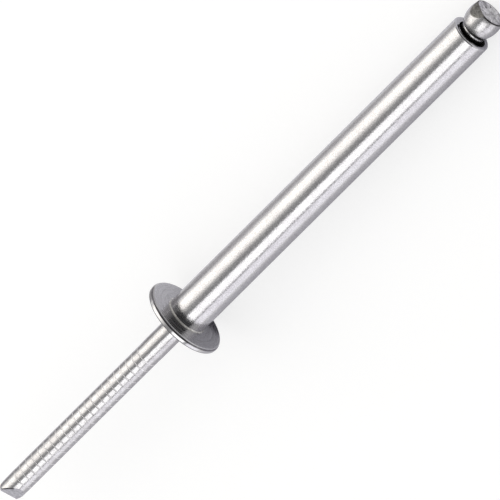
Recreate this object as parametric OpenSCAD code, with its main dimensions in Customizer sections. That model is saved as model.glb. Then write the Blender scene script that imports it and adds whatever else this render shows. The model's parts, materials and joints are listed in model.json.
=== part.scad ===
// Blind rivet: a flanged steel sleeve threaded on its pulling mandrel, lying as it rests on a table.
// The origin is the centre of the flange's bearing face, and +X runs along the rivet to the mandrel's head.
// Each piece is drawn upright first, with its axis on Z and the bearing face at Z = 0, and is then laid down.

/* [Rivet body] */
// Outside diameter of the sleeve
body_d = 5; // [4.6:0.1:6.4]
// Length of the sleeve from the bearing face to its open end
body_length = 50; // [20:1:60]
// Rounding of the sleeve's outer edge at the open end
body_end_r = 0.25; // [0.1:0.05:0.4]
// Gap all round between the mandrel and the bore
bore_clearance = 0.05; // [0.02:0.01:0.08]
// Diameter of the funnel at the sleeve's open end
mouth_d = 3.6; // [3.4:0.1:4.2]
// Depth of the funnel
mouth_depth = 0.6; // [0.4:0.1:1.5]

/* [Flange] */
// Diameter of the flange
flange_d = 10.2; // [8:0.1:16]
// Thickness of the flange at its rim
flange_rim = 0.65; // [0.5:0.05:1.2]
// Height of the domed flange above the bearing face
flange_height = 1.5; // [1.3:0.1:2.5]
// Width of the bevel where the bearing face falls away to the rim
bevel_width = 0.45; // [0.2:0.05:0.8]
// Height of that bevel
bevel_height = 0.08; // [0.04:0.02:0.2]
// Rounding of the rim's edge beside the bevel
bearing_edge_r = 0.1; // [0.05:0.05:0.2]
// Rounding of the rim's edge beside the dome
dome_edge_r = 0.15; // [0.05:0.05:0.2]
// Fillet between the sleeve and the bearing face
seat_fillet_r = 0.15; // [0.05:0.05:0.4]
// Chamfer where the mandrel enters the dome
entry_chamfer = 0.15; // [0.05:0.05:0.4]

/* [Mandrel stem] */
// Diameter of the plain stem
stem_d = 2.92; // [2.7:0.02:3]
// Length of stem that stands out, from the bearing face to the tip
stem_out = 32; // [30:0.1:45]
// Diameter of the stem between the grip rings
grip_d = 2.86; // [2.6:0.02:2.9]
// Number of rolled grip rings
ring_count = 22; // [4:1:23]
// Distance from one grip ring to the next
ring_pitch = 1.044; // [0.6:0.002:1.06]
// Width of a grip ring's groove
ring_width = 0.25; // [0.15:0.05:0.4]
// Depth of a grip ring's groove
ring_depth = 0.04; // [0.03:0.01:0.12]
// Distance from the tip to the first grip ring
tip_to_ring = 2.9; // [2.6:0.05:3.5]
// Length of the taper from the grip rings up to the plain stem
step_length = 0.7; // [0.6:0.1:1.5]

/* [Mandrel tip] */
// Diameter of the stem at the tip's edge
tip_d = 2.78; // [2.4:0.02:2.84]
// Angle between each facet of the chisel tip and the axis
tip_angle = 33; // [28:1:60]
// Direction that the first facet faces, around the axis
tip_turn = 35; // [-180:5:180]
// Rounding of the one corner of the tip's edge that the shear rolled over
tip_corner_r = 1; // [0.2:0.1:1.2]

/* [Break neck] */
// Width of the notch where the mandrel snaps
neck_width = 0.9; // [0.6:0.1:2]
// Depth of the notch
neck_depth = 0.35; // [0.1:0.05:0.8]
// Distance from the sleeve's open end to the notch
neck_inset = 4; // [2:0.5:10]

/* [Mandrel head] */
// Diameter of the collar that seats in the funnel
collar_d = 3.12; // [3.1:0.02:3.4]
// Gap between the collar's seat and the funnel
seat_clearance = 0.02; // [0.01:0.01:0.05]
// Height of the collar above the sleeve's open end
collar_rise = 0.6; // [0.3:0.05:1.5]
// Largest diameter of the head
head_d = 4.18; // [4:0.02:4.6]
// Length of the head from the collar to its crown
head_length = 2.75; // [2.2:0.05:4]
// Distance from the collar to the head's widest place
head_belly = 1.65; // [1:0.05:2]
// Radius of the head's curved side, along the axis
head_side_r = 3.6; // [2.8:0.1:6]
// Rounding of the head's edge beside the collar
head_foot_r = 0.15; // [0.05:0.05:0.3]
// Rounding of the edge around the crown
crown_edge_r = 0.15; // [0.05:0.05:0.3]
// Distance that the upset head sits off the stem's axis
head_offset = 0.14; // [0:0.02:0.14]
// Distance from the head's axis to the shear flat, at the crown
flat_reach = 1.48; // [1:0.02:1.7]
// Angle between the shear flat and the axis
flat_angle = 27; // [15:1:50]
// Direction that the shear flat faces, around the axis
flat_turn = 135; // [-180:5:180]

/* [Rest on the table] */
// Turn about its own axis in which the rivet comes to rest
rest_roll = 180.3; // [0:0.1:360]

/* [Hidden] */
$fn = 96;
steel = "silver";
bright_steel = "gainsboro";

body_r = body_d / 2;
flange_r = flange_d / 2;
stem_r = stem_d / 2;
grip_r = grip_d / 2;
bore_r = stem_r + bore_clearance;
mouth_r = mouth_d / 2;
collar_r = collar_d / 2;
through = 1;

// Dome of the flange: one spherical cap from the rim to the top
dome_rise = flange_height - flange_rim;
dome_r = (pow(flange_r, 2) + pow(dome_rise, 2)) / (2 * dome_rise);
dome_centre = [0, dome_r - flange_height];

// Rounding between the rim and the bevel, which touches both of them
bevel_length = norm([bevel_width, bevel_height]);
bearing_edge = [
    flange_r - bearing_edge_r,
    -bevel_height - bearing_edge_r * (bevel_length - bevel_height) / bevel_width
];

// Grip rings: each groove is a round cut of the stated width and depth
ring_r = (pow(ring_width / 2, 2) + pow(ring_depth, 2)) / (2 * ring_depth);
tip_z = -stem_out;
first_ring_z = tip_z + tip_to_ring;
last_ring_z = first_ring_z + (ring_count - 1) * ring_pitch;
grip_end_z = last_ring_z + ring_pitch / 2;

// Seat of the collar in the funnel, measured along the axis
funnel_slope = mouth_depth / (mouth_r - bore_r);
collar_foot_z = body_length - (mouth_r - collar_r) * funnel_slope + seat_clearance;
collar_neck_z = collar_foot_z - (collar_r - stem_r) * funnel_slope;

head_foot_z = body_length + collar_rise;
crown_z = head_foot_z + head_length;
side_centre = [head_d / 2 - head_side_r, head_foot_z + head_belly];

// Tilt at which the flange's rim and the sleeve's end both touch the table
rim_drop = bearing_edge[0] - (body_r - body_end_r);
rest_span = body_length - body_end_r - bearing_edge[1];
rest_tilt = atan2(rim_drop, rest_span) - asin((body_end_r - bearing_edge_r) / norm([rim_drop, rest_span]));

// Distance from a curved side's centre to a rounding's centre, across the axis
function reach(side_r, rise) = sqrt(pow(side_r, 2) - pow(rise, 2));

function direction(a) = [cos(a), sin(a)];

// Angle of the line from one point to another
function bearing(from, to) = atan2(to[1] - from[1], to[0] - from[0]);

// Lays a piece down on the table: up becomes forwards, and the tilt follows from the two places it rests on
module lay_down() {
    rotate([0, rest_tilt, 0])
        rotate(180, [1, 0, 1])
            rotate([0, 0, rest_roll])
                children();
}

// What a rounding takes off a convex corner, between the directions of its two tangent points
module corner_waste(centre, r, from_angle, to_angle) {
    far_from = 2 * r * direction(from_angle);
    far_to = 2 * r * direction(to_angle);
    translate(centre)
        difference() {
            polygon([[0, 0], far_from, far_from + far_to, far_to]);
            circle(r);
        }
}

// Block whose side passes through the point on an axis turned to face a direction, leaning by an angle
module leaning_block(size, z, turn, out, lean) {
    translate([0, 0, z])
        rotate([0, 0, turn])
            translate([out, 0, 0])
                rotate([0, lean, 0])
                    translate([0, -size / 2, -size / 2])
                        cube(size);
}

// Half section of the flange: flat bearing face with a shallow bevel, rounded rim, spherical dome
module flange_section() {
    dome_edge = [
        flange_r - dome_edge_r,
        dome_centre[1] - reach(dome_r - dome_edge_r, flange_r - dome_edge_r)
    ];
    difference() {
        intersection() {
            translate([0, -flange_height])
                square([flange_r, flange_height]);
            translate(dome_centre)
                circle(dome_r);
        }
        polygon([
            [flange_r - bevel_width, 0],
            [flange_r + bevel_width, -2 * bevel_height],
            [flange_r + bevel_width, bevel_height]
        ]);
        corner_waste(bearing_edge, bearing_edge_r, 0, atan2(bevel_width, bevel_height));
        corner_waste(dome_edge, dome_edge_r, 0, bearing(dome_centre, dome_edge));
    }
}

// Half section of the sleeve's wall, filleted into the flange
module sleeve_section() {
    difference() {
        translate([0, -flange_rim / 2])
            square([body_r, body_length + flange_rim / 2]);
        corner_waste([body_r - body_end_r, body_length - body_end_r], body_end_r, 0, 90);
    }
    difference() {
        translate([bore_r, -flange_rim / 2])
            square([body_r + seat_fillet_r - bore_r, flange_rim / 2 + seat_fillet_r]);
        translate([body_r + seat_fillet_r, seat_fillet_r])
            circle(seat_fillet_r);
    }
}

// Half section of everything that is open: bore, entry chamfer in the dome, funnel at the open end
module bore_section() {
    entry_z = -flange_height;
    translate([-through, entry_z - through])
        square([bore_r + through, body_length + flange_height + 2 * through]);
    polygon([
        [0, entry_z - through],
        [bore_r + entry_chamfer + through, entry_z - through],
        [bore_r, entry_z + entry_chamfer],
        [0, entry_z + entry_chamfer]
    ]);
    polygon([
        [0, body_length - mouth_depth],
        [bore_r, body_length - mouth_depth],
        [mouth_r, body_length],
        [mouth_r, body_length + through],
        [0, body_length + through]
    ]);
}

// Sleeve and domed flange, headed from one piece of tube
module rivet_body() {
    color(steel)
        lay_down()
            rotate_extrude()
                difference() {
                    union() {
                        flange_section();
                        sleeve_section();
                    }
                    bore_section();
                }
}

// Half section of the stem: tapered end, ringed grip, plain stem, break notch and collar
module stem_section() {
    neck_z = body_length - neck_inset;
    taper_end_z = first_ring_z - ring_pitch / 2;
    difference() {
        polygon([
            [0, tip_z],
            [tip_d / 2, tip_z],
            [grip_r, taper_end_z],
            [grip_r, grip_end_z],
            [stem_r, grip_end_z + step_length],
            [stem_r, neck_z - neck_width / 2],
            [stem_r - neck_depth, neck_z],
            [stem_r, neck_z + neck_width / 2],
            [stem_r, collar_neck_z],
            [collar_r, collar_foot_z],
            [collar_r, head_foot_z + head_length / 2],
            [0, head_foot_z + head_length / 2]
        ]);
        for (i = [0 : ring_count - 1])
            translate([grip_r - ring_depth + ring_r, first_ring_z + i * ring_pitch])
                circle(ring_r);
    }
}

// What the shear rolled away at one corner of the tip's edge
module rolled_corner() {
    centre = [tip_d / 2 - tip_corner_r, tip_z + tip_corner_r];
    rotate([0, 0, tip_turn + 90])
        rotate([90, 0, 0])
            translate([0, 0, -1.5 * stem_d])
                linear_extrude(3 * stem_d)
                    corner_waste(centre, tip_corner_r, -90, 0);
}

// Half section of the upset head: bulging side with both edges rounded, flat crown
module head_section() {
    foot_edge = [
        side_centre[0] + reach(head_side_r - head_foot_r, head_foot_z + head_foot_r - side_centre[1]),
        head_foot_z + head_foot_r
    ];
    crown_edge = [
        side_centre[0] + reach(head_side_r - crown_edge_r, crown_z - crown_edge_r - side_centre[1]),
        crown_z - crown_edge_r
    ];
    difference() {
        intersection() {
            translate([0, head_foot_z])
                square([head_d, head_length]);
            translate(side_centre)
                circle(head_side_r);
        }
        corner_waste(foot_edge, head_foot_r, -90, bearing(side_centre, foot_edge));
        corner_waste(crown_edge, crown_edge_r, bearing(side_centre, crown_edge), 90);
    }
}

// Pulling mandrel: ringed stem with a chisel-cut tip, break notch, and the head that sets the rivet
module mandrel() {
    color(bright_steel)
        lay_down() {
            difference() {
                rotate_extrude()
                    stem_section();
                for (side = [0, 180])
                    leaning_block(3 * stem_d, tip_z, tip_turn + side, 0, tip_angle);
                rolled_corner();
            }
            translate([0, head_offset, 0])
                difference() {
                    rotate_extrude()
                        head_section();
                    leaning_block(2 * head_d, crown_z, flat_turn, flat_reach, -flat_angle);
                }
        }
}

rivet_body();
mandrel();
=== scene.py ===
"""A flanged blind rivet in stainless steel, lying on a pale table under soft lights.

Lengths are millimetres until a mesh is written. Each piece is drawn upright, with its axis on Z, the
flange's bearing face at Z = 0 and the mandrel's head on top, and one matrix lays it down in the frame.
"""

import json
import logging
import math
from collections.abc import Callable
from dataclasses import dataclass, field
from enum import Enum

import bmesh
import bpy
from mathutils import Matrix, Vector, noise

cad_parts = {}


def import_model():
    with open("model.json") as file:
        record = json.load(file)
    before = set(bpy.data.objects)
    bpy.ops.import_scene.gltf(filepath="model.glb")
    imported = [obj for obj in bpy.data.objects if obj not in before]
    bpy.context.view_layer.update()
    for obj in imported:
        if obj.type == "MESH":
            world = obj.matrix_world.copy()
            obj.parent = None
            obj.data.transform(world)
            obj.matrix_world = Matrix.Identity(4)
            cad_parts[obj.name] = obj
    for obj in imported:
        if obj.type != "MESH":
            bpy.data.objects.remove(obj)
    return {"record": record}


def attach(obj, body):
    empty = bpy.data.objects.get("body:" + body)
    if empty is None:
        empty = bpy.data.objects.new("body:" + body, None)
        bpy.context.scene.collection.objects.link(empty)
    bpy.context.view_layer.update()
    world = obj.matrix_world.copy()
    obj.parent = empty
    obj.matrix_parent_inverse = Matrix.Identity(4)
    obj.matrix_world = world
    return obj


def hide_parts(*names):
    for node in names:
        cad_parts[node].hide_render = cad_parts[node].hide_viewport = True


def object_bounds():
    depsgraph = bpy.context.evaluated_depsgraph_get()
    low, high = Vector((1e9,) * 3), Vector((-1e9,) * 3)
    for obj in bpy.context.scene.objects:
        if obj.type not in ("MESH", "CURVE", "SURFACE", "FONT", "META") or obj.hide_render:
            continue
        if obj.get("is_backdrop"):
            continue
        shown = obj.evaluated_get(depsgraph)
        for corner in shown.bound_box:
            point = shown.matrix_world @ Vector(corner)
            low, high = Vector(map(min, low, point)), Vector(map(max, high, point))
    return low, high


MM = 0.001
BODY = "root"
REST_ROLL = 180.3
NOISE_SPAN = (0.35, 0.65)
ELSEWHERE = Vector((9, 4, 2))
CLOSE = 1e-6
Link = tuple[bpy.types.Node, str]

log = logging.getLogger("rivet")


class Surface(Enum):
    """The surfaces of the rivet that were made in different ways, some of them carrying painted shade or
    painted highlights.
    """

    TUBE = "drawn and tumbled tube"
    FLANGE = "pressed and polished flange"
    # Painted shade: dark lines on the roundings of the flange's rim
    RIM_SHADE_LINE = "rounded edges of the flange's rim"
    TUBE_END = "cut end of the tube"
    # Painted shade: the funnel and the collar's foot are near black, for the gap between them
    GAP_SHADE = "punched funnel in the tube's end"
    SEAT_HIGHLIGHT = "corner between flange and sleeve"
    # Painted shade: the inside of the tube is coloured darker
    BORE = "inside of the tube"
    WIRE = "drawn wire"
    RING_HIGHLIGHT = "bottom of a rolled grip ring"
    TIP = "sheared tip"
    BARREL = "upset head"
    CROWN = "end of the upset head"
    FLAT = "shear flat on the head"
    # Painted shade: near black in the creases under the head, on the crown's edge and pits, and along the
    # tip's facet
    PAINTED_SHADE = "torn and sooty edge"


def linear(hex_colour: str) -> tuple[float, float, float, float]:
    """Turns an sRGB hex colour into Blender's linear one.

    Args:
        hex_colour: Six hex digits after a hash sign.

    Returns:
        Linear red, green and blue, and an alpha of 1.
    """
    channels = (int(hex_colour[i : i + 2], 16) / 255 for i in (1, 3, 5))
    red, green, blue = (c / 12.92 if c <= 0.04045 else ((c + 0.055) / 1.055) ** 2.4 for c in channels)
    return red, green, blue, 1.0


def smoothstep(low: float, high: float, value: float) -> float:
    """Rises smoothly from 0 at low to 1 at high."""
    share = min(1.0, max(0.0, (value - low) / (high - low)))
    return share * share * (3 - 2 * share)


def add_node(
    tree: bpy.types.NodeTree,
    kind: str,
    settings: dict[str, object] | None = None,
    links: dict[str | int, Link] | None = None,
) -> bpy.types.Node:
    """Adds a shader node with its settings and its links.

    Args:
        tree: The node tree that gets the node.
        kind: The node's type name in Blender.
        settings: Values by the name of a property, or of an input socket.
        links: For each input socket, by name or number, the node and output that feed it.

    Returns:
        The new node.
    """
    node = tree.nodes.new(kind)
    for name, value in (settings or {}).items():
        if hasattr(node, name):
            setattr(node, name, value)
        else:
            node.inputs[name].default_value = value
    for socket, (source, output) in (links or {}).items():
        tree.links.new(source.outputs[output], node.inputs[socket])
    return node


def empty_tree(owner: bpy.types.Material | bpy.types.World) -> bpy.types.NodeTree:
    """Gives the node tree of a new material or world, with nothing in it."""
    owner.use_nodes = True
    owner.node_tree.nodes.clear()
    return owner.node_tree


def add_noise(
    tree: bpy.types.NodeTree, cell_mm: float, roughness: float, spot: Link, detail: float = 2.0
) -> Link:
    """Adds a noise texture.

    Args:
        tree: The node tree that gets it.
        cell_mm: Size of its coarsest features.
        roughness: How strongly the finer ones show.
        spot: The node and output that give the place.
        detail: Number of finer steps.

    Returns:
        The node and output that give the noise, most of it inside NOISE_SPAN.
    """
    settings = {"Scale": 1 / (cell_mm * MM), "Detail": detail, "Roughness": roughness}
    return add_node(tree, "ShaderNodeTexNoise", settings, {"Vector": spot}), "Fac"


def add_range(
    tree: bpy.types.NodeTree, value: Link, low: float, high: float, span: tuple[float, float] = (0.0, 1.0)
) -> Link:
    """Adds a node that maps a span of a value to the range from low to high."""
    settings = {"From Min": span[0], "From Max": span[1], "To Min": low, "To Max": high}
    return add_node(tree, "ShaderNodeMapRange", settings, {"Value": value}), "Result"


def add_blend(tree: bpy.types.NodeTree, share: Link, first: str, second: str) -> Link:
    """Adds a blend from one sRGB hex colour to another."""
    blend = add_node(tree, "ShaderNodeMix", {"data_type": "RGBA"}, {0: share})
    colour_sockets = [socket for socket in blend.inputs if socket.type == "RGBA"]
    for socket, colour in zip(colour_sockets, (first, second)):
        socket.default_value = linear(colour)
    return blend, "Result"


def add_relief(tree: bpy.types.NodeTree, height: Link, relief_mm: float, under: Link | None = None) -> Link:
    """Adds a relief of a height in millimetres, on top of another one if there is one."""
    links = {"Height": height, "Normal": under} if under else {"Height": height}
    return add_node(tree, "ShaderNodeBump", {"Strength": 1.0, "Distance": relief_mm * MM}, links), "Normal"


@dataclass(frozen=True)
class SteelFinish:
    """Stainless steel as one way of working leaves it, or with painted shade or painted highlights in its
    colour.

    Attributes:
        name: What the material is called.
        light: sRGB colour of its clean metal.
        dark: sRGB colour of its duller patches.
        patch_mm: Size of those patches.
        roughness: Least and greatest roughness, from patch to patch.
        grain_mm: Size of the surface grain.
        grain_relief_mm: Height of the grain.
        streak_mm: Width of the lengthwise draw lines.
        streak_relief_mm: Height of the draw lines.
        streak_length: How many times as long as wide a draw line is.
        streak_axis: The direction of the lines: 0, 1 or 2 for the piece's own X, Y or Z.
        speckle: Share by which the grain darkens the colour; it lightens it by half of that.
        turned: True if the patches are rings around the piece's axis.
    """

    name: str
    light: str
    dark: str
    patch_mm: float
    roughness: tuple[float, float]
    grain_mm: float
    grain_relief_mm: float
    streak_mm: float = 0.1
    streak_relief_mm: float = 0.0
    streak_length: float = 40.0
    streak_axis: int = 2
    speckle: float = 0.0
    turned: bool = False

    def material(self, lay_down: Matrix) -> bpy.types.Material:
        """Builds the node material, whose patterns lie along the piece's own axis.

        Args:
            lay_down: The matrix that laid the piece down.

        Returns:
            The new material.
        """
        material = bpy.data.materials.new(self.name)
        tree = empty_tree(material)
        place = add_node(tree, "ShaderNodeTexCoord")
        stand_up = {"vector_type": "TEXTURE", "Rotation": lay_down.to_euler()}
        standing = add_node(tree, "ShaderNodeMapping", stand_up, {"Vector": (place, "Object")})
        upright: Link = (standing, "Vector")
        stretch = [1.0, 1.0, 1.0]
        stretch[self.streak_axis] = 1.0 / self.streak_length
        drawn = add_node(tree, "ShaderNodeMapping", {"Scale": stretch}, {"Vector": upright})
        spot = upright
        if self.turned:
            flat = add_node(tree, "ShaderNodeMapping", {"Scale": (1.0, 1.0, 0.0)}, {"Vector": upright})
            radius = add_node(tree, "ShaderNodeVectorMath", {"operation": "LENGTH"}, {0: (flat, "Vector")})
            spot = (radius, "Value")
        patches = add_range(tree, add_noise(tree, self.patch_mm, 0.6, spot, detail=3.0), 0.0, 1.0, NOISE_SPAN)
        grain = add_noise(tree, self.grain_mm, 0.7, upright)
        streaks = add_noise(tree, self.streak_mm, 0.6, (drawn, "Vector"))
        colour = add_blend(tree, patches, self.light, self.dark)
        shade = add_range(tree, grain, 1.0 - self.speckle, 1.0 + self.speckle / 2, NOISE_SPAN)
        flecked = add_node(tree, "ShaderNodeVectorMath", {"operation": "SCALE"}, {0: colour, "Scale": shade})
        lines = add_relief(tree, streaks, self.streak_relief_mm)
        looks = {
            "Base Color": (flecked, "Vector"),
            "Roughness": add_range(tree, patches, *self.roughness),
            "Normal": add_relief(tree, grain, self.grain_relief_mm, lines),
        }
        steel = add_node(tree, "ShaderNodeBsdfPrincipled", {"Metallic": 1.0}, looks)
        add_node(tree, "ShaderNodeOutputMaterial", None, {"Surface": (steel, "BSDF")})
        return material


FINISHES = {
    # Drawn tube, barrelled with the finished rivets: bright, with a fine sugary grain where light turns dark
    Surface.TUBE: SteelFinish(
        "tumbled_stainless_tube", "#C5C4C5", "#BDBBBD", 2.5, (0.12, 0.17), 0.16, 0.012, speckle=0.2
    ),
    # Pressed by a turned die: nearly a mirror, so the sleeve shows in it, with faint rings around it
    Surface.FLANGE: SteelFinish(
        "die_polished_stainless", "#C6C5C6", "#B6B5B7", 0.22, (0.05, 0.4), 0.2, 0.004,
        speckle=0.12, turned=True,
    ),
    # Painted shade: the rim's edge roundings are coloured dark, polished steel, so the rim shows between two
    # dark lines
    Surface.RIM_SHADE_LINE: SteelFinish("painted_rim_shade_stainless", "#858387", "#6C6A6E", 0.6, (0.1, 0.2), 0.2, 0.006),
    # Faced square and then tumbled: as bright as the flange, so it mirrors the collar beside it
    Surface.TUBE_END: SteelFinish(
        "faced_stainless_edge", "#C6C5C7", "#B4B3B6", 0.5, (0.08, 0.14), 0.14, 0.004
    ),
    # Punched funnel and the collar's foot, coloured near black as painted shade for the gap between sleeve
    # and collar
    Surface.GAP_SHADE: SteelFinish("punched_stainless_painted_shade", "#343231", "#211F1E", 0.5, (0.38, 0.5), 0.14, 0.02),
    # Coined by the corner of the die: coloured paler than the flange as a painted highlight, and broad enough
    # in its gloss to show as a bright line
    Surface.SEAT_HIGHLIGHT: SteelFinish("coined_stainless_corner_painted_highlight", "#E4E2DC", "#A9A7A4", 0.4, (0.25, 0.4), 0.14, 0.02),
    # Drawn over a plug and never polished: dull, and coloured darker grey as painted shade inside the bore
    Surface.BORE: SteelFinish("plug_drawn_stainless_painted_shade", "#6A6867", "#565453", 1.5, (0.38, 0.5), 0.2, 0.008),
    # Drawn wire: bright, with faint lines along it
    Surface.WIRE: SteelFinish(
        "drawn_stainless_wire", "#C5C4C5", "#B7B5B6", 1.2, (0.13, 0.2), 0.16, 0.009,
        streak_mm=0.12, streak_relief_mm=0.008, streak_length=14.0, speckle=0.2,
    ),
    # Pressed by the rough edge of the roll: nearly matte, and coloured pale as a painted highlight, so it
    # shows as a bright line in any light
    Surface.RING_HIGHLIGHT: SteelFinish("rolled_stainless_ring_painted_highlight", "#EBE9EA", "#D6D4D5", 0.4, (0.5, 0.6), 0.14, 0.02),
    # Sheared through by a blunt tool: matte and mid grey
    Surface.TIP: SteelFinish(
        "sheared_stainless_wire", "#CDCCD1", "#AFAEB3", 0.4, (0.42, 0.55), 0.16, 0.05, speckle=0.15
    ),
    # Pushed out cold in a die: satin, lightly lumpy
    Surface.BARREL: SteelFinish(
        "upset_stainless_head", "#C3C2C3", "#B0AEAF", 0.7, (0.16, 0.24), 0.14, 0.014, speckle=0.18
    ),
    # The free end of the upset, never touched by the die: matte and torn, with tears across it
    Surface.CROWN: SteelFinish(
        "torn_stainless_crown", "#E2E0E3", "#979598", 0.45, (0.36, 0.5), 0.1, 0.05,
        streak_relief_mm=0.05, streak_length=6.0, streak_axis=1, speckle=0.4,
    ),
    # Slip face of the trimming shear: duller than the barrel, with drag lines across it, and coloured darker
    # as painted shade for the dark reflection it shows
    Surface.FLAT: SteelFinish(
        "shear_burnished_stainless_painted_shade", "#95938F", "#6C6A68", 0.5, (0.28, 0.36), 0.14, 0.02,
        streak_relief_mm=0.02, streak_length=5.0, streak_axis=1, speckle=0.3,
    ),
    # Painted shade, coloured nearly black: the creases beside the collar and under the head, the crown's edge
    # and pits, and a line along one rim of the tip's facet
    Surface.PAINTED_SHADE: SteelFinish("painted_shade_stainless", "#4C494A", "#302E2F", 0.3, (0.4, 0.55), 0.12, 0.03),
}


@dataclass
class Outline:
    """Half section of a turned piece, as a chain of points (radius, height).

    Attributes:
        points: The chain so far.
        surfaces: How each stretch of the chain was made, one less than the points.
        step_deg: Turn from one point of an arc to the next.
        guard: Length of the short stretch that keeps a long one flat up to its ends.
    """

    points: list[tuple[float, float]]
    surfaces: list[Surface] = field(default_factory=list)
    step_deg: float = 7.5
    guard: float = 0.02

    def add(self, point: tuple[float, float], surface: Surface) -> None:
        """Adds one point to the chain."""
        self.points.append(point)
        self.surfaces.append(surface)

    def line(self, r: float, z: float, surface: Surface, spacing: float = 1.0) -> None:
        """Draws a straight stretch, with short pieces at both of its ends.

        Args:
            r: Radius at its far end.
            z: Height of its far end.
            surface: How this stretch was made.
            spacing: Longest distance between two points.
        """
        start, end = Vector(self.points[-1]), Vector((r, z))
        length = (end - start).length
        shares = [1.0]
        if length > 4 * self.guard:
            inner = length - 2 * self.guard
            count = max(1, math.ceil(inner / spacing))
            shares = [(self.guard + inner * i / count) / length for i in range(count + 1)] + [1.0]
        for share in shares:
            self.add(tuple(start.lerp(end, share)), surface)

    def arc(
        self, centre: tuple[float, float], radius: float, start: float, end: float, surface: Surface
    ) -> None:
        """Draws an arc about a centre.

        Args:
            centre: Radius and height of its centre.
            radius: Radius of the arc.
            start: Direction of its first point from the centre, in degrees from outwards to up.
            end: Direction of its last point.
            surface: How this stretch was made.
        """
        count = max(3, math.ceil(abs(end - start) / self.step_deg))
        for i in range(1, count + 1):
            angle = math.radians(start + (end - start) * i / count)
            point = (centre[0] + radius * math.cos(angle), centre[1] + radius * math.sin(angle))
            self.add(point, surface)


def bearing(start: tuple[float, float], end: tuple[float, float]) -> float:
    """Direction in degrees from one point of an outline to another."""
    return math.degrees(math.atan2(end[1] - start[1], end[0] - start[0]))


Place = Callable[[float, float, float, Surface], Vector]


def turn_outline(outline: Outline, place: Place, segments: int, closed: bool) -> bmesh.types.BMesh:
    """Turns an outline about its axis into a mesh of four-sided faces.

    Args:
        outline: The half section.
        place: Gives a vertex from its radius, height, azimuth in radians and surface.
        segments: Number of faces around.
        closed: True if the outline's last point is its first one; otherwise both ends lie on the axis.

    Returns:
        The mesh, each face with the material index of its surface in the order of FINISHES.
    """
    made = bmesh.new()
    slots = {surface: index for index, surface in enumerate(FINISHES)}
    points = outline.points[:-1] if closed else outline.points
    owners = [outline.surfaces[0], *outline.surfaces]
    rings: list[list[bmesh.types.BMVert]] = []
    for (r, z), owner in zip(points, owners):
        if r < CLOSE:
            rings.append([made.verts.new(place(0.0, z, 0.0, owner))] * segments)
            continue
        azimuths = (2 * math.pi * i / segments for i in range(segments))
        rings.append([made.verts.new(place(r, z, azimuth, owner)) for azimuth in azimuths])
    if closed:
        rings.append(rings[0])
    for lower, upper, surface in zip(rings, rings[1:], outline.surfaces):
        for i in range(segments):
            j = (i + 1) % segments
            corners = list(dict.fromkeys((lower[i], lower[j], upper[j], upper[i])))
            made.faces.new(corners).material_index = slots[surface]
    bmesh.ops.recalc_face_normals(made, faces=made.faces[:])
    return made


def add_object(made: bmesh.types.BMesh, name: str, materials: list[bpy.types.Material]) -> bpy.types.Object:
    """Turns a mesh, which is freed, into an object of the scene with its materials."""
    mesh = bpy.data.meshes.new(name)
    made.to_mesh(mesh)
    made.free()
    for material in materials:
        mesh.materials.append(material)
    thing = bpy.data.objects.new(name, mesh)
    bpy.context.scene.collection.objects.link(thing)
    return thing


def dress(made: bmesh.types.BMesh, name: str, lay_down: Matrix, crease_deg: float = 32.0) -> bpy.types.Object:
    """Turns a mesh in millimetres into a laid-down piece with all its finishes.

    Args:
        made: The mesh, which is freed.
        name: The piece's name.
        lay_down: The matrix that lays the piece down.
        crease_deg: Faces that meet at more than this angle keep a sharp edge.

    Returns:
        The new piece.
    """
    made.transform(lay_down @ Matrix.Scale(MM, 4))
    for face in made.faces:
        face.smooth = True
    for edge in made.edges:
        edge.smooth = len(edge.link_faces) == 2 and edge.calc_face_angle() < math.radians(crease_deg)
    used = sorted({face.material_index for face in made.faces})
    for face in made.faces:
        face.material_index = used.index(face.material_index)
    finishes = list(FINISHES.values())
    return add_object(made, name, [finishes[index].material(lay_down) for index in used])


@dataclass(frozen=True)
class RestingAxis:
    """How the rivet's own axis lies in the frame.

    Attributes:
        ahead: Unit vector along the axis, from the tip to the head.
        up: Unit vector square to the axis, as nearly upwards as it goes.
        across: Unit vector square to both.
    """

    ahead: Vector
    up: Vector
    across: Vector

    @classmethod
    def from_record(cls, record: dict) -> "RestingAxis":
        """Reads the axis off the bearing face's mount.

        Args:
            record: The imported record.

        Returns:
            The axis with its two cross directions.
        """
        mount = next(m for m in record["mounts"] if m["name"] == "bearing_face")
        ahead = Vector(mount["axis"]).normalized()
        across = ahead.cross(Vector((0, 0, 1))).normalized()
        return cls(ahead, across.cross(ahead), across)

    def lay_down(self, roll_deg: float) -> Matrix:
        """Gives the matrix that lays an upright piece down, turned about its axis by an angle."""
        upright = Matrix((self.up, self.across, self.ahead)).transposed().to_4x4()
        return upright @ Matrix.Rotation(math.radians(roll_deg), 4, "Z")

    def direction(self, around_deg: float, along_deg: float) -> Vector:
        """Gives a direction from the rivet.

        Args:
            around_deg: Angle around the axis, from up towards across.
            along_deg: Angle from square to the axis, towards the head.

        Returns:
            A unit vector.
        """
        around, along = math.radians(around_deg), math.radians(along_deg)
        outwards = self.up * math.cos(around) + self.across * math.sin(around)
        return self.ahead * math.sin(along) + outwards * math.cos(along)


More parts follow.
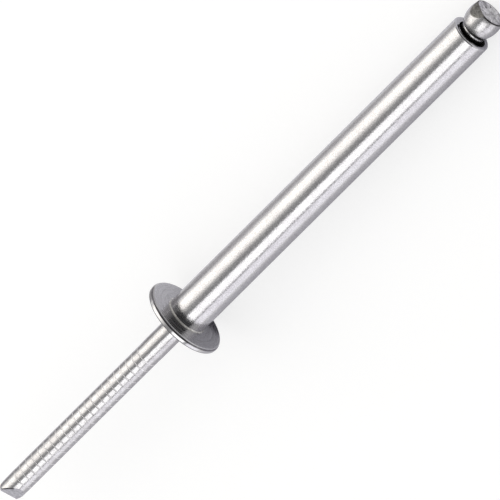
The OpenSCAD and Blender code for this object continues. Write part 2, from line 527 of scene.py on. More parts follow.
@dataclass
class RivetBody:
    """The sleeve and its domed flange, headed from one piece of tube.

    Attributes:
        mouth_r: Radius at which the funnel's slope would reach the end face.
        flare_r: Radius to which the funnel was pushed open there.
        flare_offset: How far that opening lies off the axis.
        flange_rim: Thickness of the flange at its rim.
        flange_height: Thickness of the flange with its dome.
        bearing_edge_turn: Angle that the rounding of the bearing edge spans.
        bright_turn: Angle of both roundings, next to the rim, that is as bright as the rim.
        rim_shade_end_turn: Angle of the bearing edge's rounding at which its painted shade line ends.
    """

    body_r: float = 2.5
    body_length: float = 50.0
    body_end_r: float = 0.25
    bore_r: float = 1.51
    mouth_r: float = 1.8
    mouth_depth: float = 0.6
    flare_r: float = 1.9
    flare_offset: tuple[float, float] = (-0.22, -0.12)
    flange_r: float = 5.098
    flange_rim: float = 0.72
    flange_height: float = 1.5
    bearing_edge_r: float = 0.45
    bearing_edge_turn: float = 60.0
    bright_turn: float = 14.0
    rim_shade_end_turn: float = 42.0
    dome_edge_r: float = 0.22
    seat_fillet_r: float = 0.15
    entry_chamfer: float = 0.15
    segments: int = 192

    def outline(self) -> Outline:
        """Draws the half section, from the bore over the dome, rim, sleeve and funnel back to the bore.

        Returns:
            The closed outline.
        """
        rise = self.flange_height - self.flange_rim
        dome_r = (self.flange_r**2 + rise**2) / (2 * rise)
        dome_centre = (0.0, dome_r - self.flange_height)
        edge_reach = self.flange_r - self.dome_edge_r
        edge_drop = math.sqrt((dome_r - self.dome_edge_r) ** 2 - edge_reach**2)
        dome_edge = (edge_reach, dome_centre[1] - edge_drop)
        rim_turn = bearing(dome_centre, dome_edge)
        entry_r = self.bore_r + self.entry_chamfer
        entry_z = dome_centre[1] - math.sqrt(dome_r**2 - entry_r**2)
        neck_z = entry_z + self.entry_chamfer
        chain = Outline([(self.bore_r, neck_z)])
        chain.line(entry_r, entry_z, Surface.FLANGE)
        chain.step_deg = 1.0
        chain.arc(dome_centre, dome_r, bearing(dome_centre, (entry_r, entry_z)), rim_turn, Surface.FLANGE)
        chain.step_deg = 7.5
        # Painted shade: a dark line on the dome edge's rounding
        chain.arc(dome_edge, self.dome_edge_r, rim_turn, -self.bright_turn, Surface.RIM_SHADE_LINE)
        chain.arc(dome_edge, self.dome_edge_r, -self.bright_turn, 0, Surface.FLANGE)
        edge_z = -self.bearing_edge_r * math.sin(math.radians(self.bearing_edge_turn))
        chain.line(self.flange_r, edge_z, Surface.FLANGE, spacing=0.1)
        rounding = (self.flange_r - self.bearing_edge_r, edge_z)
        chain.step_deg = 5.0
        chain.arc(rounding, self.bearing_edge_r, 0, self.bright_turn, Surface.FLANGE)
        # Painted shade: a dark line on the bearing edge's rounding
        chain.arc(rounding, self.bearing_edge_r, self.bright_turn, self.rim_shade_end_turn, Surface.RIM_SHADE_LINE)
        chain.arc(rounding, self.bearing_edge_r, self.rim_shade_end_turn, self.bearing_edge_turn, Surface.FLANGE)
        chain.step_deg = 7.5
        chain.line(self.body_r + self.seat_fillet_r, 0, Surface.FLANGE, spacing=0.25)
        seat = (self.body_r + self.seat_fillet_r, self.seat_fillet_r)
        # Painted highlight: the fillet at the seat is coloured pale
        chain.arc(seat, self.seat_fillet_r, 270, 180, Surface.SEAT_HIGHLIGHT)
        chain.line(self.body_r, self.body_length - self.body_end_r, Surface.TUBE)
        rounding = (self.body_r - self.body_end_r, self.body_length - self.body_end_r)
        chain.arc(rounding, self.body_end_r, 0, 90, Surface.TUBE_END)
        chain.line(self.flare_r, self.body_length, Surface.TUBE_END)
        chain.line(self.bore_r, self.body_length - self.mouth_depth, Surface.GAP_SHADE)
        chain.line(self.bore_r, neck_z, Surface.BORE, spacing=5)
        return chain

    def place(self, r: float, z: float, azimuth: float, _: Surface) -> Vector:
        """Gives a vertex of the piece.

        Args:
            r: Radius on the half section.
            z: Height on the half section.
            azimuth: Direction around the axis, in radians.

        Returns:
            The vertex, which in the funnel follows the opening's offset.
        """
        point = Vector((r * math.cos(azimuth), r * math.sin(azimuth), z))
        face_r = self.body_r - self.body_end_r
        above = z - (self.body_length - self.mouth_depth)
        if above > 0 and r < face_r:
            inwards = min(1.0, (face_r - r) / (face_r - self.flare_r))
            point += Vector((*self.flare_offset, 0)) * inwards * above / self.mouth_depth
        return point

    def build(self, lay_down: Matrix) -> bpy.types.Object:
        """Builds the piece.

        Args:
            lay_down: The matrix that lays it down.

        Returns:
            The dressed object.
        """
        made = turn_outline(self.outline(), self.place, self.segments, closed=True)
        return dress(made, "sleeve_and_flange", lay_down)


@dataclass(frozen=True)
class Dent:
    """A small round pit in the crown, with its place from the head's axis."""

    x: float
    y: float
    radius: float
    depth: float


@dataclass
class Mandrel:
    """The pulling mandrel: one piece of wire with a sheared tip, rolled grip rings and an upset head.

    Attributes:
        ring_strip: Half the width of the pale bottom of a ring.
        ring_wobble: How far a ring strays along the stem.
        ring_unevenness: Share by which a ring's depth changes around the stem.
        ring_lip_spot: Place and width of the lip beside a ring, in halves of the ring's width.
        ring_chance: How fast a ring's unevenness changes around the stem, and from ring to ring.
        flank_reach: How far the finer points beside a ring reach, in widths of the ring.
        tip_turn: Direction across the chisel's edge.
        tip_corner_r: Radius to which the shear rolled one corner of that edge.
        tip_smooth: Shares of a facet, at the chisel's edge and at its rim, over which its relief fades.
        shade_line_turn: Directions between which the rim of a facet carries a painted shade line.
        shade_line_fade: Angle over which that painted shade line widens from its thin end.
        collar_shade_reach: How far the collar's painted shade reaches beyond the sleeve's end.
        collar_bright: Width of the bright band above that.
        flat_reach: Distance of the shear flat from the head's axis, at the crown.
        barrel_fade: Height and radius over which the head's lumps set in.
        barrel_sink: How far they lie below the plain side, in heights of a lump.
        barrel_lump, crown_lump, tip_lump: Size of the lumps, whose height is the relief of that name.
        crown_fine: Size and share of the crown's finer lumps, of the coarse ones.
    """

    sleeve: RivetBody = field(default_factory=RivetBody)
    stem_r: float = 1.46
    stem_out: float = 31.999
    grip_r: float = 1.43
    ring_count: int = 22
    ring_pitch: float = 1.044
    ring_width: float = 0.16
    ring_depth: float = 0.02
    ring_lip: float = 0.004
    ring_strip: float = 0.045
    ring_wobble: float = 0.05
    ring_unevenness: float = 0.55
    ring_lip_spot: tuple[float, float] = (1.25, 0.3)
    ring_chance: tuple[float, float] = (1.3, 3.7)
    flank_reach: float = 0.75
    flank_points: int = 4
    tip_to_ring: float = 2.9
    step_length: float = 0.7
    tip_r: float = 1.39
    tip_angle: float = 33.0
    tip_turn: float = 35.0
    tip_corner_r: float = 0.6
    tip_smooth: tuple[float, float] = (0.15, 0.1)
    shade_line_width: float = 0.27
    shade_line_turn: tuple[float, float] = (126.0, 186.0)
    shade_line_fade: float = 22.0
    neck_width: float = 0.9
    neck_depth: float = 0.35
    neck_inset: float = 4.0
    collar_r: float = 1.56
    seat_clearance: float = 0.02
    collar_rise: float = 0.6
    collar_shade_reach: float = 0.27
    collar_bright: float = 0.19
    head_r: float = 2.09
    head_length: float = 2.75
    head_belly: float = 1.65
    head_side_r: float = 3.6
    head_foot_r: float = 0.15
    crown_edge_r: float = 0.15
    head_offset: float = 0.14
    flat_reach: float = 1.48
    flat_angle: float = 27.0
    flat_turn: float = 135.0
    barrel_relief: float = 0.012
    barrel_lump: float = 0.7
    barrel_fade: tuple[float, float] = (0.3, 0.5)
    barrel_sink: float = 0.6
    crown_relief: float = 0.05
    crown_lump: float = 0.42
    crown_fine: tuple[float, float] = (0.3, 0.25)
    tip_relief: float = 0.02
    tip_lump: float = 0.35
    dents: tuple[Dent, ...] = (
        Dent(0.35, 0.77, 0.13, 0.08),
        Dent(1.31, 0.41, 0.13, 0.08),
    )
    segments: int = 144

    @property
    def tip_z(self) -> float:
        """Height of the chisel tip's edge."""
        return -self.stem_out

    @property
    def first_ring_z(self) -> float:
        """Height of the first grip ring."""
        return self.tip_z + self.tip_to_ring

    @property
    def taper_end_z(self) -> float:
        """Height at which the tip's taper reaches the grip's full width."""
        return self.first_ring_z - self.ring_pitch / 2

    @property
    def grip_end_z(self) -> float:
        """Height at which the ringed stretch ends."""
        return self.first_ring_z + (self.ring_count - 0.5) * self.ring_pitch

    @property
    def funnel_slope(self) -> float:
        """Rise of the sleeve's funnel over its widening, which the collar's seat shares."""
        return self.sleeve.mouth_depth / (self.sleeve.mouth_r - self.sleeve.bore_r)

    @property
    def collar_foot_z(self) -> float:
        """Height at which the collar's seat reaches its full width."""
        inset = (self.sleeve.mouth_r - self.collar_r) * self.funnel_slope
        return self.sleeve.body_length - inset + self.seat_clearance

    @property
    def collar_neck_z(self) -> float:
        """Height at which the collar's seat leaves the stem."""
        return self.collar_foot_z - (self.collar_r - self.stem_r) * self.funnel_slope

    @property
    def head_foot_z(self) -> float:
        """Height of the head's underside."""
        return self.sleeve.body_length + self.collar_rise

    @property
    def crown_z(self) -> float:
        """Height of the crown."""
        return self.head_foot_z + self.head_length

    def outline(self) -> Outline:
        """Draws the half section, from the tip to the middle of the crown.

        Returns:
            The outline, with both of its ends on the axis.
        """
        chain = Outline([(0.0, self.tip_z)])
        chain.line(self.tip_r, self.tip_z, Surface.TIP, spacing=0.09)
        chain.line(self.grip_r, self.taper_end_z, Surface.WIRE, spacing=0.15)
        self.draw_grip(chain)
        chain.line(self.stem_r, self.grip_end_z + self.step_length, Surface.WIRE, spacing=0.2)
        neck_z = self.sleeve.body_length - self.neck_inset
        chain.line(self.stem_r, neck_z - self.neck_width / 2, Surface.WIRE)
        chain.line(self.stem_r - self.neck_depth, neck_z, Surface.WIRE)
        chain.line(self.stem_r, neck_z + self.neck_width / 2, Surface.WIRE)
        chain.line(self.stem_r, self.collar_neck_z, Surface.WIRE)
        # Painted shade: the collar's seat and foot are near black, in the gap at the sleeve's end
        chain.line(self.collar_r, self.collar_foot_z, Surface.GAP_SHADE)
        shade_top_z = self.sleeve.body_length + self.collar_shade_reach
        chain.line(self.collar_r, shade_top_z, Surface.GAP_SHADE, spacing=0.2)
        chain.line(self.collar_r, shade_top_z + self.collar_bright, Surface.BARREL, spacing=0.2)
        # Painted shade: a near-black band at the collar's top, in the crease under the head
        chain.line(self.collar_r, self.head_foot_z, Surface.PAINTED_SHADE, spacing=0.2)
        self.draw_head(chain)
        return chain

    def draw_grip(self, chain: Outline) -> None:
        """Draws the ringed stretch as a plain one, with enough points at each ring for its groove."""
        outer, inner = self.flank_reach * self.ring_width, self.ring_strip
        steps = range(self.flank_points, 0, -1)
        flank = [inner + (outer - inner) * i / self.flank_points for i in steps]
        offsets = [-away for away in flank] + [-inner, -inner / 2, 0.0, inner / 2, inner] + flank[::-1]
        for ring in range(self.ring_count):
            middle = self.first_ring_z + ring * self.ring_pitch
            for offset in offsets:
                in_strip = -inner < offset <= inner
                # Painted highlight: the pale strip at the bottom of each ring
                chain.add((self.grip_r, middle + offset), Surface.RING_HIGHLIGHT if in_strip else Surface.WIRE)
        chain.add((self.grip_r, self.grip_end_z), Surface.WIRE)

    def draw_head(self, chain: Outline) -> None:
        """Draws the head's underside, its bulging side with both edges rounded, and its crown."""
        side = (self.head_r - self.head_side_r, self.head_foot_z + self.head_belly)
        foot = self.edge_centre(side, self.head_foot_r, self.head_foot_z + self.head_foot_r)
        crown = self.edge_centre(side, self.crown_edge_r, self.crown_z - self.crown_edge_r)
        # Painted shade: the head's underside and foot rounding are near black, in the crease over the collar
        chain.line(foot[0], self.head_foot_z, Surface.PAINTED_SHADE)
        chain.arc(foot, self.head_foot_r, -90, bearing(side, foot), Surface.PAINTED_SHADE)
        chain.step_deg = 1.5
        chain.arc(side, self.head_side_r, bearing(side, foot), bearing(side, crown), Surface.BARREL)
        chain.step_deg = 7.5
        # Painted shade: a near-black line on the crown edge's rounding
        chain.arc(crown, self.crown_edge_r, bearing(side, crown), 90, Surface.PAINTED_SHADE)
        chain.line(0.0, self.crown_z, Surface.CROWN, spacing=0.055)

    def edge_centre(self, side: tuple[float, float], rounding: float, z: float) -> tuple[float, float]:
        """Gives the centre of a rounding inside the head's curved side, at a height."""
        return side[0] + math.sqrt((self.head_side_r - rounding) ** 2 - (z - side[1]) ** 2), z

    def ring_groove(self, z: float, azimuth: float) -> tuple[float, float]:
        """Gives how a grip ring shapes the surface of the stem.

        Args:
            z: Height on the stem.
            azimuth: Direction around the axis, in radians.

        Returns:
            The change of radius, and the shift along the axis of a ring that isn't quite square.
        """
        ring = round((z - self.first_ring_z) / self.ring_pitch)
        away = abs(z - self.first_ring_z - ring * self.ring_pitch) / (self.ring_width / 2)
        if not 0 <= ring < self.ring_count or away > 2:
            return 0.0, 0.0
        turning, stepping = self.ring_chance
        around = Vector((turning * math.cos(azimuth), turning * math.sin(azimuth), stepping * ring))
        shift = self.ring_wobble * noise.noise(around * 0.8)
        strength = 1 + self.ring_unevenness * noise.noise(around + ELSEWHERE)
        groove = max(0.0, 1 - away * away)
        lip_place, lip_width = self.ring_lip_spot
        lip = math.exp(-(((away - lip_place) / lip_width) ** 2))
        return strength * (self.ring_lip * lip - self.ring_depth * groove), shift

    def tip_edge(self, azimuth: float) -> tuple[float, float]:
        """Gives where a facet of the tip meets the stem.

        Args:
            azimuth: Direction around the axis, in radians.

        Returns:
            Radius and height of that point.
        """
        rise = abs(math.cos(azimuth - math.radians(self.tip_turn))) / math.tan(math.radians(self.tip_angle))
        taper = (self.grip_r - self.tip_r) / (self.taper_end_z - self.tip_z)
        height = self.tip_r * rise / (1 - taper * rise)
        return self.tip_r + taper * height, self.tip_z + height

    def roll_corner(self, point: Vector) -> Vector:
        """Moves a point that lies beyond the rolled corner of the tip's edge onto its rounding."""
        turn = math.radians(self.tip_turn + 90)
        along_edge = Vector((math.cos(turn), math.sin(turn), 0))
        out = point.dot(along_edge) - (self.tip_r - self.tip_corner_r)
        down = self.tip_z + self.tip_corner_r - point.z
        reach = math.hypot(out, down)
        if out <= 0 or down <= 0 or reach <= self.tip_corner_r:
            return point
        back = 1 - self.tip_corner_r / reach
        return point - along_edge * (out * back) + Vector((0, 0, down * back))

    def place(self, r: float, z: float, azimuth: float, surface: Surface) -> Vector:
        """Gives a vertex of the mandrel.

        Args:
            r: Radius on the plain half section.
            z: Height on the plain half section.
            azimuth: Direction around the axis, in radians.
            surface: How that stretch was made.

        Returns:
            The vertex, with facets, grooves, lumps and the head's offset.
        """
        outwards = Vector((math.cos(azimuth), math.sin(azimuth), 0))
        upwards = Vector((0, 0, 1))
        if surface is Surface.TIP:
            edge_r, edge_z = self.tip_edge(azimuth)
            share = r / self.tip_r
            point = outwards * edge_r * share + upwards * (self.tip_z + (edge_z - self.tip_z) * share)
            torn = self.tip_relief * (0.5 + 0.5 * noise.noise(point / self.tip_lump))
            at_edge, at_rim = self.tip_smooth
            torn *= smoothstep(0, at_edge, share) * smoothstep(0, at_rim, 1 - share)
            return self.roll_corner(point + upwards * torn)
        if z < self.taper_end_z:
            edge_r, edge_z = self.tip_edge(azimuth)
            share = (z - self.tip_z) / (self.taper_end_z - self.tip_z)
            rise = edge_z + (self.taper_end_z - edge_z) * share
            return self.roll_corner(outwards * (edge_r + (self.grip_r - edge_r) * share) + upwards * rise)
        if z < self.grip_end_z:
            rise, shift = self.ring_groove(z, azimuth)
            return outwards * (r + rise) + upwards * (z + shift)
        point = outwards * r + upwards * z
        if z < self.head_foot_z - CLOSE or r == self.collar_r:
            return point
        up_fade, out_fade = self.barrel_fade
        lump = self.barrel_relief * (noise.noise(point / self.barrel_lump) - self.barrel_sink)
        lump *= smoothstep(self.head_foot_z, self.head_foot_z + up_fade, z) * smoothstep(0, out_fade, r)
        point += outwards * lump
        if surface is Surface.CROWN:
            point -= upwards * self.crown_sink(point)
        return point + Vector((0, self.head_offset, 0))

    def crown_sink(self, point: Vector) -> float:
        """Gives how far the torn crown lies below its highest plane.

        Args:
            point: A point of the plain crown, about the head's own axis.

        Returns:
            The depth, never below zero.
        """
        flat = Vector((point.x, point.y, 0))
        fine_size, fine_share = self.crown_fine
        coarse = 0.5 + 0.5 * noise.noise(flat / self.crown_lump + Vector((3, 1, 0)))
        fine = 0.5 + 0.5 * noise.noise(flat / (fine_size * self.crown_lump) + Vector((7, 5, 0)))
        sink = self.crown_relief * (coarse + (fine - coarse) * fine_share)
        for dent in self.dents:
            away = (flat - Vector((dent.x, dent.y, 0))).length / dent.radius
            sink += dent.depth * math.exp(-(away**2))
        return sink

    def paint_shade(self, made: bmesh.types.BMesh) -> None:
        """Paints shade, as the near-black finish, into the pits in the crown and along one side of the rim of
        the tip's facet.
        """
        crown, tip, painted_shade = (list(FINISHES).index(s) for s in (Surface.CROWN, Surface.TIP, Surface.PAINTED_SHADE))
        first, last = self.shade_line_turn
        for face in made.faces:
            spot = face.calc_center_median()
            if face.material_index == crown:
                places = ((d, Vector((d.x, d.y + self.head_offset, spot.z))) for d in self.dents)
                if any((spot - place).length < dent.radius for dent, place in places):
                    face.material_index = painted_shade
            elif face.material_index == tip:
                azimuth = math.atan2(spot.y, spot.x)
                turn = math.degrees(azimuth) % 360
                width = self.shade_line_width * smoothstep(first, first + self.shade_line_fade, turn)
                if turn < last and math.hypot(spot.x, spot.y) > self.tip_edge(azimuth)[0] - width:
                    face.material_index = painted_shade
        log.info("sooty faces: %d", sum(face.material_index == painted_shade for face in made.faces))

    def build(self, lay_down: Matrix) -> bpy.types.Object:
        """Builds the piece, and cuts the shear flat on its head.

        Args:
            lay_down: The matrix that lays it down.

        Returns:
            The dressed object.
        """
        made = turn_outline(self.outline(), self.place, self.segments, closed=False)
        self.paint_shade(made)
        turn, lean = math.radians(self.flat_turn), math.radians(self.flat_angle)
        facing = Vector((math.cos(turn), math.sin(turn), 0))
        through = facing * self.flat_reach + Vector((0, self.head_offset, self.crown_z))
        cut = bmesh.ops.bisect_plane(
            made,
            geom=made.verts[:] + made.edges[:] + made.faces[:],
            plane_co=through,
            plane_no=facing * math.cos(lean) + Vector((0, 0, math.sin(lean))),
            clear_outer=True,
        )
        rim = [edge for edge in cut["geom_cut"] if isinstance(edge, bmesh.types.BMEdge)]
        slot = list(FINISHES).index(Surface.FLAT)
        for face in bmesh.ops.edgeloop_fill(made, edges=rim)["faces"]:
            face.material_index = slot
        return dress(made, "pulling_mandrel", lay_down)


def uv_sheet(spot: Callable[[float, float], Vector], steps: int) -> bmesh.types.BMesh:
    """Builds a sheet, with the shares of its width and length as its UV map.

    Args:
        spot: Gives a point of the sheet from those two shares.
        steps: Number of faces each way.

    Returns:
        The mesh.
    """
    made = bmesh.new()
    uv = made.loops.layers.uv.new("card")
    shares = [i / steps for i in range(steps + 1)]
    grid = [[made.verts.new(spot(u, v)) for u in shares] for v in shares]
    for row in range(steps):
        for column in range(steps):
            places = ((row, column), (row, column + 1), (row + 1, column + 1), (row + 1, column))
            face = made.faces.new([grid[i][j] for i, j in places])
            for loop, (i, j) in zip(face.loops, places):
                loop[uv].uv = (shares[j], shares[i])
    return made


def fade_out(
    tree: bpy.types.NodeTree,
    shares: bpy.types.Node,
    shader: Link,
    edges: dict[tuple[str, int], float],
    cover: float = 1.0,
) -> None:
    """Ends a card's node tree with a shader that fades out towards the card's edges.

    Args:
        tree: The card's node tree.
        shares: The node that gives the shares of the card's width and length as X and Y.
        shader: The card's own shader.
        edges: For each edge, named by its direction and its share there, the share over which it fades.
        cover: How much of what lies behind the card it hides inside those edges.
    """
    mask: Link | None = None
    for (output, edge), width in edges.items():
        span = {"From Min": float(edge), "From Max": abs(edge - width), "To Max": 1.0 if mask else cover}
        settings = {"interpolation_type": "SMOOTHSTEP", **span}
        rise: Link = (add_node(tree, "ShaderNodeMapRange", settings, {"Value": (shares, output)}), "Result")
        if mask:
            rise = (add_node(tree, "ShaderNodeMath", {"operation": "MULTIPLY"}, {0: mask, 1: rise}), "Value")
        mask = rise
    clear = add_node(tree, "ShaderNodeBsdfTransparent")
    both = add_node(tree, "ShaderNodeMixShader", None, {0: mask, 1: (clear, "BSDF"), 2: shader})
    add_node(tree, "ShaderNodeOutputMaterial", None, {"Surface": (both, "Shader")})


def add_card(made: bmesh.types.BMesh, name: str, material: bpy.types.Material, lights: bool = False) -> None:
    """Adds a card that shows in the metal alone, or that lights the table too."""
    card = add_object(made, name, [material])
    card.visible_camera = False
    card.visible_shadow = False
    card.visible_diffuse = lights
    card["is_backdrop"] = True
    log.info("card %s", name)


@dataclass(frozen=True)
class StudioCard:
    """A softbox or a flag, as a curved patch of the sky around the rivet's axis.

    Attributes:
        name: What the card is called.
        around: Its two edges around the axis, in degrees from up towards across.
        along: Its two edges along the axis, in degrees from square towards the head.
        fade: Degrees over which each of those four edges fades out.
        colour: sRGB colour of its light.
        radiance: How bright it shows, where 1 is white.
        distance: Its distance from the rivet, in metres.
        lights: True if it also lights the table.
        steps: Number of its faces each way.
    """

    name: str
    around: tuple[float, float]
    along: tuple[float, float]
    fade: tuple[float, float, float, float]
    colour: str
    radiance: float
    distance: float
    lights: bool = False
    steps: int = 16

    def build(self, axis: RestingAxis) -> None:
        """Builds the card, which the camera doesn't see.

        Args:
            axis: How the rivet lies.
        """

        def spot(u: float, v: float) -> Vector:
            """Gives the point of the card at two shares of its width and length."""
            around = self.around[0] + (self.around[1] - self.around[0]) * u
            along = self.along[0] + (self.along[1] - self.along[0]) * v
            return axis.direction(around, along) * self.distance

        add_card(uv_sheet(spot, self.steps), self.name, self.material(), self.lights)

    def material(self) -> bpy.types.Material:
        """Builds the card's light, which fades out towards its edges.

        Returns:
            The new material.
        """
        material = bpy.data.materials.new(self.name)
        tree = empty_tree(material)
        place = add_node(tree, "ShaderNodeTexCoord")
        shares = add_node(tree, "ShaderNodeSeparateXYZ", None, {"Vector": (place, "UV")})
        settings = {"Color": linear(self.colour), "Strength": self.radiance}
        light = add_node(tree, "ShaderNodeEmission", settings)
        spans = {"X": self.around[1] - self.around[0], "Y": self.along[1] - self.along[0]}
        ends = [(output, edge) for output in spans for edge in (0, 1)]
        edges = {(output, edge): fade / spans[output] for (output, edge), fade in zip(ends, self.fade)}
        fade_out(tree, shares, (light, "Emission"), edges)
        return material


@dataclass(frozen=True)
class PaintedShadowSheet:
    """A sheet of painted shadow lying beside the rivet, out of the camera's sight, that only the metal
    mirrors, which gives it a dark edge.

    Attributes:
        name: What the card is called.
        near_mm: Distance of its near edge from the rivet's axis, below zero on the other side of it.
        far_mm: Distance of its far edge.
        near_colour: sRGB colour at its near edge.
        far_colour: sRGB colour at its far edge.
        fade: Share of its width over which each of its long edges fades out.
        ends_mm: Its two ends along the rivet, from the flange's bearing face.
        rise_mm: Its height above the table.
        cover: How much of the table it hides, where 1 is all.
    """

    name: str
    near_mm: float
    far_mm: float
    near_colour: str
    far_colour: str
    fade: tuple[float, float] = (0.12, 0.3)
    ends_mm: tuple[float, float] = (-60.0, 75.0)
    rise_mm: float = 0.02
    cover: float = 1.0

    def build(self, table_z: float) -> None:
        """Builds the card a hair above the table.

        Args:
            table_z: Height of the table, in metres.
        """

        def spot(u: float, v: float) -> Vector:
            """Gives the point of the card at two shares of its width and length."""
            along = self.ends_mm[0] + (self.ends_mm[1] - self.ends_mm[0]) * v
            across = self.near_mm + (self.far_mm - self.near_mm) * u
            return Vector((along * MM, -across * MM, table_z + self.rise_mm * MM))

        add_card(uv_sheet(spot, 1), self.name, self.material())

    def material(self) -> bpy.types.Material:
        """Builds the card's graded grey, which fades out towards its long edges.

        Returns:
            The new material.
        """
        material = bpy.data.materials.new(self.name)
        tree = empty_tree(material)
        place = add_node(tree, "ShaderNodeTexCoord")
        shares = add_node(tree, "ShaderNodeSeparateXYZ", None, {"Vector": (place, "UV")})
        grey = add_blend(tree, (shares, "X"), self.near_colour, self.far_colour)
        matte = add_node(tree, "ShaderNodeBsdfDiffuse", None, {"Color": grey})
        edges = {("X", 0): self.fade[0], ("X", 1): self.fade[1]}
        fade_out(tree, shares, (matte, "BSDF"), edges, self.cover)
        return material


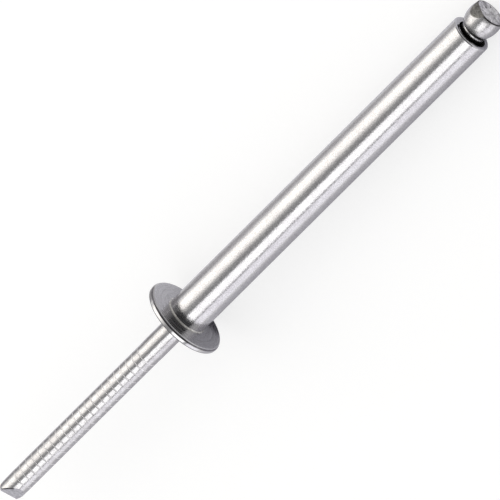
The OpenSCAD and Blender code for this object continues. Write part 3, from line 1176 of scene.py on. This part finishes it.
@dataclass
class Studio:
    """The table, the lights, the sheets of painted shadow and the camera.

    Attributes:
        axis: How the rivet lies.
        floor_z: Height of the table, in metres.
        pitch_deg: How far the rivet's axis leans towards the camera.
        roll_deg: Direction of the axis in the picture, from right to up.
        pixels_per_mm: The picture's scale.
        picture: Width of the picture in pixels.
        aim: What the picture's middle shows: millimetres from the bearing face along and across the rivet.
        lens: Focal length in millimetres.
        clip: Nearest and farthest that the camera sees, as shares of its distance.
        floor_half: Half the width of the table, in metres.
        ambient: Strength of the white surround where it lights things, of what it shows.
        table_lift: Light that the camera sees on top of the table's own, which leaves it its shadow.
    """

    axis: RestingAxis
    floor_z: float
    pitch_deg: float = 24.7
    roll_deg: float = 44.786
    pixels_per_mm: float = 8.78
    picture: int = 500
    aim: tuple[float, float] = (10.36, -0.256)
    lens: float = 1600.0
    sensor: float = 36.0
    clip: tuple[float, float] = (0.01, 10.0)
    floor_half: float = 4.0
    ambient: float = 0.8
    table_colour: str = "#A8A8A8"
    table_lift: float = 0.65
    cards: tuple[StudioCard, ...] = (
        StudioCard("key_softbox", (-92, -14), (-52, 9), (16, 46, 8, 4), "#FFFCF6", 2.15, 0.5, lights=True),
        StudioCard("top_softbox", (1.2, 43), (-48, 4), (4, 2, 8, 3), "#FFFFFF", 2.1, 0.5),
        StudioCard("side_fill", (47, 99), (-66, 10), (8, 15, 14, 8), "#F5F4F9", 1.66, 0.55),
        StudioCard("gap_flag", (-48.5, 7.5), (-56, 10), (20, 2, 10, 2), "#FFFFFF", 0.42, 0.6),
        StudioCard("seam_flag", (44, 55.5), (-66, 6), (2, 2, 8, 2), "#FFFFFF", 0.34, 0.62),
        StudioCard("camera_flag", (-60, 58), (9, 42), (10, 10, 3, 8), "#FFFFFF", 0.06, 0.65),
        StudioCard("front_flag", (-104, 62), (4, 90), (10, 10, 2, 1), "#FFFFFF", 0.36, 0.68),
        StudioCard("tail_flag", (-90, 90), (-84, -48), (2, 2, 8, 8), "#FFFFFF", 0.26, 0.7),
    )
    # Painted shadow that only the metal mirrors: the table's shade beside the rivet and stem, and a dark
    # contact shadow by the flange
    painted_shadow_sheets: tuple[PaintedShadowSheet, ...] = (
        PaintedShadowSheet("left_painted_shadow", -5.5, -45, "#D4D2D5", "#E4E3E6"),
        PaintedShadowSheet("left_near_painted_shadow", -0.6, -6.6, "#F4F4FF", "#F4F4FF", (0.1, 0.2), rise_mm=0.03, cover=0.72),
        PaintedShadowSheet("right_painted_shadow", 4.6, 45, "#E0DFE6", "#F8F8FF", (0.04, 0.3)),
        PaintedShadowSheet("right_near_painted_shadow", 0.8, 6.0, "#D2D1D9", "#D2D1D9", (0.1, 0.2), rise_mm=0.03),
        PaintedShadowSheet("stem_left_painted_shadow", -6.0, -45, "#B4B3B6", "#C6C5C8", (0.1, 0.3), (-60.0, -3.0), 0.04),
        PaintedShadowSheet("painted_contact_shadow", 1.2, 4.7, "#56545B", "#56545B", (0.3, 0.3), (0.05, 1.1), 0.06),
    )

    def build(self) -> None:
        """Builds everything around the rivet."""
        self.build_camera()
        self.build_table()
        self.build_world()
        for card in self.cards:
            card.build(self.axis)
        for grey in self.painted_shadow_sheets:
            grey.build(self.floor_z)

    def build_camera(self) -> None:
        """Places the camera along the photograph's line of sight."""
        pitch, roll = math.radians(self.pitch_deg), math.radians(self.roll_deg)
        back = self.axis.ahead * math.sin(pitch) + self.axis.up * math.cos(pitch)
        along = self.axis.ahead * math.cos(pitch) - self.axis.up * math.sin(pitch)
        right = along * math.cos(roll) + self.axis.across * math.sin(roll)
        above = along * math.sin(roll) - self.axis.across * math.cos(roll)
        target = (along * self.aim[0] + self.axis.across * self.aim[1]) * MM
        distance = self.picture / self.pixels_per_mm * MM * self.lens / self.sensor
        data = bpy.data.cameras.new("camera")
        data.lens = self.lens
        data.sensor_width = self.sensor
        data.clip_start = self.clip[0] * distance
        data.clip_end = self.clip[1] * distance
        camera = bpy.data.objects.new("camera", data)
        bpy.context.scene.collection.objects.link(camera)
        turn = Matrix((right, above, back)).transposed().to_4x4()
        camera.matrix_world = Matrix.Translation(target + back * distance) @ turn
        bpy.context.scene.camera = camera

    def build_table(self) -> None:
        """Builds the pale table under the rivet."""
        made = bmesh.new()
        reach = self.floor_half
        corners = ((-reach, -reach), (reach, -reach), (reach, reach), (-reach, reach))
        made.faces.new([made.verts.new((x, y, self.floor_z)) for x, y in corners])
        table = add_object(made, "table", [self.table_material()])
        table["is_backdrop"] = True

    def table_material(self) -> bpy.types.Material:
        """Builds a matte table top that looks white where no shadow falls.

        Returns:
            The new material.
        """
        material = bpy.data.materials.new("matte_white_laminate")
        tree = empty_tree(material)
        matte = add_node(tree, "ShaderNodeBsdfDiffuse", {"Color": linear(self.table_colour)})
        lift = add_node(tree, "ShaderNodeEmission", {"Color": linear("#FFFFFF"), "Strength": self.table_lift})
        seen = self.seen_directly(tree)
        lifted = add_node(tree, "ShaderNodeMixShader", None, {0: seen, 2: (lift, "Emission")})
        total = add_node(tree, "ShaderNodeAddShader", None, {0: (matte, "BSDF"), 1: (lifted, "Shader")})
        add_node(tree, "ShaderNodeOutputMaterial", None, {"Surface": (total, "Shader")})
        return material

    def seen_directly(self, tree: bpy.types.NodeTree) -> Link:
        """Adds nodes that give 1 to camera, glossy and transmission rays and 0 to all others."""
        path = add_node(tree, "ShaderNodeLightPath")
        seen: Link = (path, "Is Camera Ray")
        for ray in ("Is Glossy Ray", "Is Transmission Ray"):
            either = {"operation": "ADD", "use_clamp": True}
            seen = (add_node(tree, "ShaderNodeMath", either, {0: seen, 1: (path, ray)}), "Value")
        return seen

    def build_world(self) -> None:
        """Builds a white surround that lights the table at a plain level."""
        world = bpy.data.worlds.new("studio")
        tree = empty_tree(world)
        strength = add_range(tree, self.seen_directly(tree), self.ambient, 1.0)
        white = add_node(tree, "ShaderNodeBackground", {"Color": linear("#FFFFFF")}, {"Strength": strength})
        add_node(tree, "ShaderNodeOutputWorld", None, {"Surface": (white, "Background")})
        bpy.context.scene.world = world


def main() -> None:
    """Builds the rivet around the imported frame, and then its studio."""
    logging.basicConfig(level=logging.INFO, format="%(name)s: %(message)s")
    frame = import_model()
    cad_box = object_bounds()
    axis = RestingAxis.from_record(frame["record"])
    lay_down = axis.lay_down(REST_ROLL)
    pieces = (
        (RivetBody().build(lay_down), "rivet_body", "sleeve_steel"),
        (Mandrel().build(lay_down), "mandrel", "mandrel_steel"),
    )
    for piece, node, slot in pieces:
        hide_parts(node)
        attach(piece, BODY)
        log.info("piece %s: %d faces, for node %s", piece.name, len(piece.data.polygons), node)
    Studio(axis, cad_box[0].z).build()
    bpy.context.scene.view_settings.view_transform = "Standard"


if __name__ == "__main__":
    main()
